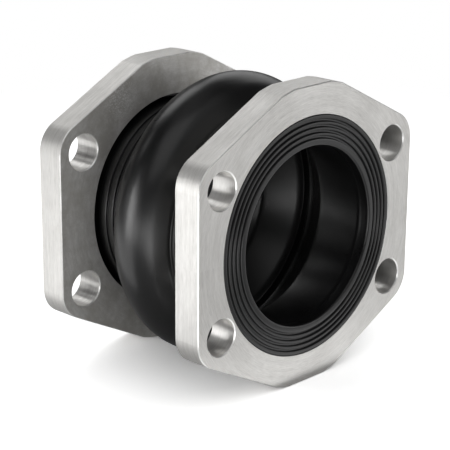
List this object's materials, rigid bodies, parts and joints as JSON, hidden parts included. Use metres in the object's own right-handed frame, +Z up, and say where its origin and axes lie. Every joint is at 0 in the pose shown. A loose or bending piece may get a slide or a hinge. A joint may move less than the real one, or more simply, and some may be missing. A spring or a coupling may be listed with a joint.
{
  "type": "flanged expansion joint",
  "caption": "Short rubber pipe expansion joint: a hollow-arch bellows with ribbed sealing collars, held between swivelling stainless steel flanges with bolt-hole ears.",
  "frame": {"origin": "centre of the bounding box, on the pipe axis, halfway between the two flange faces", "axes": "+X along the pipe axis out of the front flange, +Y across the flanges through the ears, +Z up, away from the flats that the joint stands on"},
  "size_m": [0.108, 0.151, 0.1476],
  "materials": {
    "rubber": "moulded black rubber, satin",
    "stainless": "fine brushed stainless steel"
  },
  "bodies": {
    "rear_flange": {"rear_flange": "stainless"},
    "bellows": {"bellows": "rubber"},
    "front_flange": {"front_flange": "stainless"}
  },
  "joints": [
    {"name": "rear_swivel", "type": "hinge", "parent": "rear_flange", "child": "bellows", "pos_m": [-0.05, 0, 0], "axis": [1, 0, 0], "continuous": true},
    {"name": "axial_travel", "type": "slide", "parent": "bellows", "child": "front_flange", "axis": [1, 0, 0], "range_m": [-0.012, 0.008], "stiffness_N_per_m": 40000, "deforming": ["bellows"]}
  ]
}
